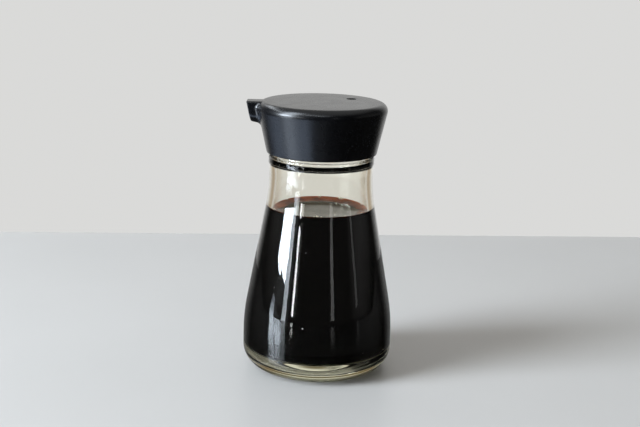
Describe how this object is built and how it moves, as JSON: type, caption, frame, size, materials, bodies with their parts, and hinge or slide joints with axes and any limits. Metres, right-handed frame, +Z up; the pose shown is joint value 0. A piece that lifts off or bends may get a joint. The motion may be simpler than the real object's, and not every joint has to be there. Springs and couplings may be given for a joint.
{
  "type": "soy sauce bottle",
  "caption": "Flared clear glass table bottle part full of dark soy sauce, closed by a black plastic pouring cap with a side spout and an air hole in its top.",
  "frame": {"origin": "middle of the circle that the base stands on, at table height", "axes": "+Z up along the bottle's axis, -X towards the spout"},
  "size_m": [0.06, 0.06, 0.1082],
  "materials": {
    "clear_glass": "clear smooth pressed glass with a faint warm tint in the thick base",
    "soy_sauce": "dark brown liquid, nearly black in depth and red-brown where it is thin",
    "black_plastic": "satin black moulded plastic with light scuffs"
  },
  "bodies": {
    "root": {"glass_bottle": "clear_glass", "soy_sauce": "soy_sauce", "cap": "black_plastic"}
  },
  "joints": []
}
